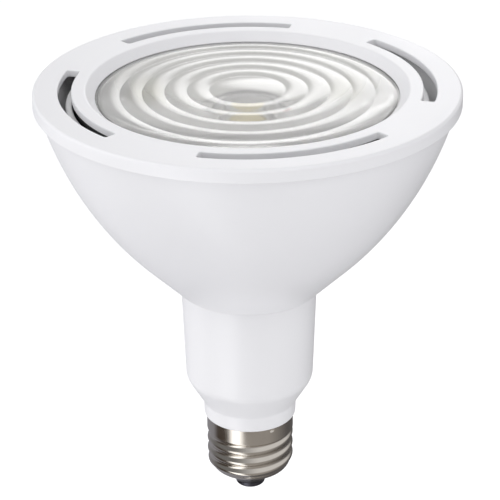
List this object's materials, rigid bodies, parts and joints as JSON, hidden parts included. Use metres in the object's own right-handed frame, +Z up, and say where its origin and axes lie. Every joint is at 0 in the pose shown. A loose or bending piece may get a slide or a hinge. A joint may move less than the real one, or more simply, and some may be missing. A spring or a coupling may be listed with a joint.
{
  "type": "led reflector bulb",
  "caption": "Reflector lamp with a screw base, a narrow neck, a bowl-shaped body and a ringed round lens sunk in a flat front ring pierced by curved air slots.",
  "frame": {"origin": "tip of the base's centre contact, on the lamp's axis", "axes": "+Z up the lamp's axis from the contact to the front ring's flat face; the picture looks along +Y from the -Y side; +X to the picture's right; the slots are centred 15, 105, 195 and 285 degrees about +Z from +X"},
  "size_m": [0.1214, 0.1214, 0.1305],
  "materials": {
    "ring_white": "smooth satin white moulding",
    "cup_white": "smooth satin white moulding",
    "neck_white": "smooth satin white moulding",
    "shell_nickel": "rolled and nickel plated",
    "insulator_black": "moulded black, semi-gloss",
    "contact_metal": "tinned",
    "lens_clear": "clear, polished",
    "holder_white": "matt white moulding",
    "sink_black": "black anodised casting",
    "pad_grey": "soft, matt",
    "led_board_white": "white solder mask on metal",
    "phosphor_yellow": "soft silicone with phosphor",
    "screw_steel": "zinc plated",
    "cover_grey": "matt moulding",
    "driver_green": "glass-fibre laminate",
    "can_black": "shrink sleeve",
    "film_red": "dipped and cured",
    "ferrite_grey": "sintered, matt",
    "winding_yellow": "taped winding",
    "chip_black": "moulded package",
    "fuse_green": "lacquered",
    "wire_black": "extruded insulation",
    "wire_white": "extruded insulation",
    "wire_red": "extruded insulation"
  },
  "bodies": {
    "root": {"front_ring": "ring_white", "housing": "cup_white", "neck_sleeve": "neck_white", "base_shell": "shell_nickel", "base_insulator": "insulator_black", "center_contact": "contact_metal", "lens": "lens_clear", "lens_holder": "holder_white", "heat_sink": "sink_black", "thermal_pad": "pad_grey", "led_board": "led_board_white", "led_emitter": "phosphor_yellow", "led_screws": "screw_steel", "sleeve_screws": "screw_steel", "driver_cover": "cover_grey", "driver_board": "driver_green", "input_capacitor": "can_black", "output_capacitor": "can_black", "film_capacitor": "film_red", "input_choke": "ferrite_grey", "transformer_core": "ferrite_grey", "transformer_winding": "winding_yellow", "bridge_rectifier": "chip_black", "control_chip": "chip_black", "fuse_resistor": "fuse_green", "live_wire": "wire_black", "neutral_wire": "wire_white", "output_wire_positive": "wire_red", "output_wire_negative": "wire_black"}
  },
  "joints": []
}
